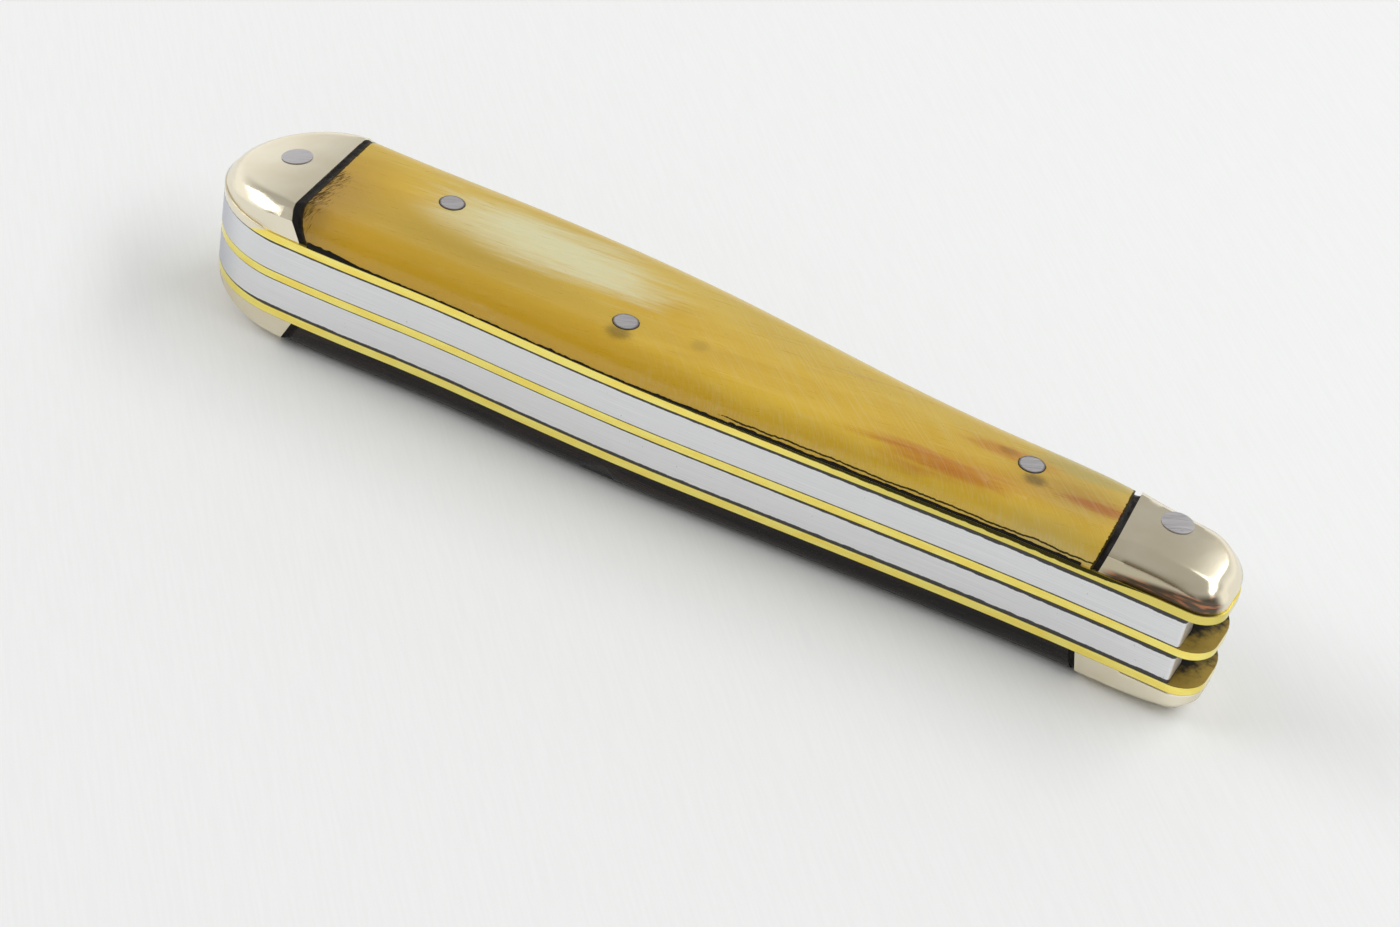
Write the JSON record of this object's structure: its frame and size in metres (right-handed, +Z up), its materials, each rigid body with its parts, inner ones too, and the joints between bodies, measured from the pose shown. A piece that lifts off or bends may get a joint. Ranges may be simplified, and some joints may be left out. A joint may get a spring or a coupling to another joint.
{
  "type": "folding pocket knife",
  "caption": "Slip-joint pocket knife in trapper form: horn scales, nickel-silver bolsters, brass liners, and clip and spey blades that fold into the sprung handle.",
  "frame": {"origin": "on the plane the closed knife lies on, at the middle of its length, on the centre line of the rear scale's flat face", "axes": "+X along the handle towards the pivot end, +Y towards the front where the blades swing out, +Z up from the rear scale to the front scale"},
  "size_m": [0.1048, 0.0193, 0.0155],
  "materials": {
    "honey_horn": "satin-polished amber horn with pale and red-brown streaks",
    "dark_horn": "satin-polished near-black horn",
    "nickel_silver": "ground and buffed nickel silver",
    "brass": "bright ground edges, dull inner faces",
    "spring_steel": "satin ground along its length",
    "blade_steel": "hollow ground, satin, polished bevel",
    "pin_steel": "filed flush and buffed"
  },
  "bodies": {
    "handle": {"front_scale": "honey_horn", "rear_scale": "dark_horn", "front_butt_bolster": "nickel_silver", "front_joint_bolster": "nickel_silver", "rear_butt_bolster": "nickel_silver", "rear_joint_bolster": "nickel_silver", "front_liner": "brass", "centre_liner": "brass", "rear_liner": "brass", "clip_spring": "spring_steel", "spey_spring": "spring_steel", "pivot_pin": "pin_steel", "spring_pin": "pin_steel", "butt_pin": "pin_steel", "front_butt_scale_pin": "pin_steel", "front_joint_scale_pin": "pin_steel", "rear_butt_scale_pin": "pin_steel", "rear_joint_scale_pin": "pin_steel"},
    "clip": {"clip_blade": "blade_steel"},
    "spey": {"spey_blade": "blade_steel"}
  },
  "joints": [
    {"name": "clip_blade_pivot", "type": "hinge", "parent": "handle", "child": "clip", "pos_m": [0.045, 0.00135, 0.00976], "axis": [0, 0, -1], "range_deg": [0, 180], "deforming": ["clip_spring"]},
    {"name": "spey_blade_pivot", "type": "hinge", "parent": "handle", "child": "spey", "pos_m": [0.045, 0.00135, 0.00569], "axis": [0, 0, -1], "range_deg": [0, 180], "deforming": ["spey_spring"]}
  ]
}
